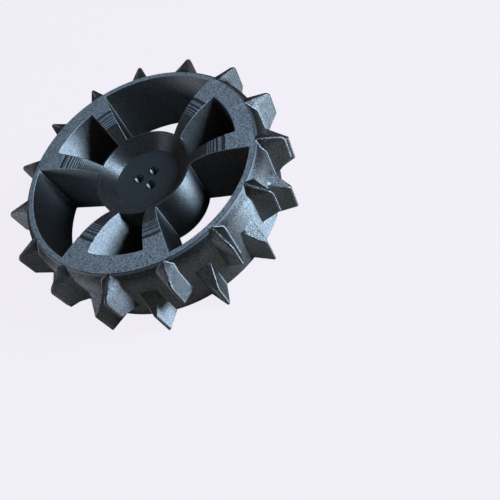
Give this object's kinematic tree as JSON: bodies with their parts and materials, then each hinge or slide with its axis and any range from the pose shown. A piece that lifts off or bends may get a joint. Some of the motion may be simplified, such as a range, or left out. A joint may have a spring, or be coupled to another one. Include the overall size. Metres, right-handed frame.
{
  "type": "wheel",
  "caption": "One-piece printed drive wheel for a small mobile robot, with staggered pointed cleats round the tread, tapered paired spokes and a dished hub with screw holes.",
  "frame": {"origin": "centre of the flat back face, on the wheel's axis", "axes": "+Z runs along the axis from the back face to the dished front face; +X passes through a cleat of the front row and the middle of a pocket between two paired spokes"},
  "size_m": [0.202, 0.201, 0.051],
  "materials": {
    "printed_plastic": "satin"
  },
  "bodies": {
    "root": {"wheel": "printed_plastic"}
  },
  "joints": []
}
